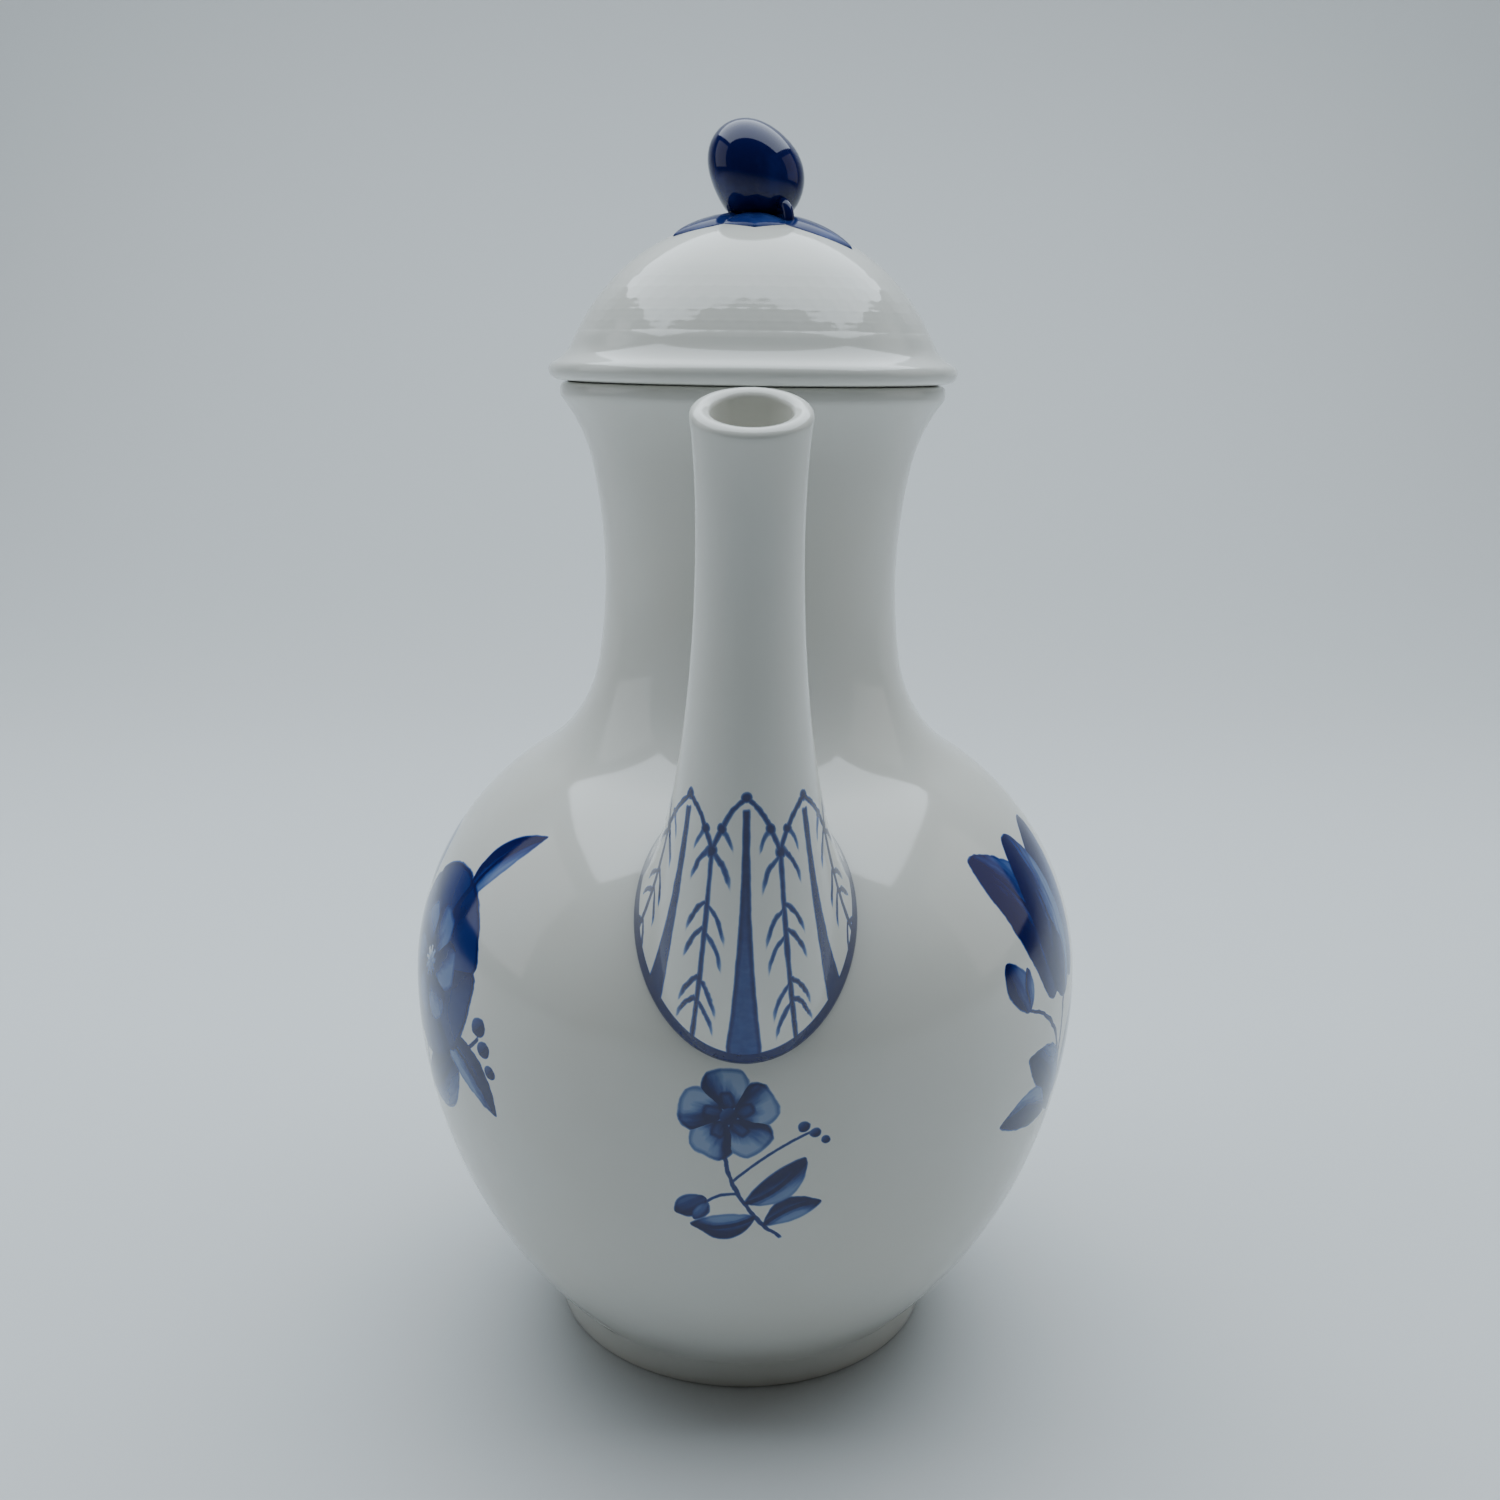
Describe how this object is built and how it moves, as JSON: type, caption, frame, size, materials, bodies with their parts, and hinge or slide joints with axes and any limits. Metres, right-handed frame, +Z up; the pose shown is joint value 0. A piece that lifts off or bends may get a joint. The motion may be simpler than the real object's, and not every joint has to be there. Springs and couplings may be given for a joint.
{
  "type": "coffee pot",
  "caption": "Tall white porcelain coffee pot with a pear-shaped belly, waisted neck, long spout, ear handle and a domed lift-off lid with a bud knob.",
  "frame": {"origin": "centre of the foot ring, on the plane that the pot stands on", "axes": "+Z up along the pot's axis, -Y towards the spout, +Y towards the handle, +X to the right seen from the spout"},
  "size_m": [0.1338, 0.1698, 0.2371],
  "materials": {
    "white_glaze": "gloss",
    "cobalt_glaze": "gloss"
  },
  "bodies": {
    "pot": {"pot_bowl": "white_glaze", "pot_shoulder": "white_glaze", "pot_neck": "white_glaze", "spout": "white_glaze", "handle": "white_glaze"},
    "lid": {"lid": "white_glaze", "lid_brim": "white_glaze", "knob": "cobalt_glaze", "knob_stalk": "cobalt_glaze", "lid_leaves": "cobalt_glaze"}
  },
  "joints": [
    {"name": "lid_lift", "type": "slide", "parent": "pot", "child": "lid", "axis": [0, 0, 1], "range_m": [0, 0.08]}
  ]
}
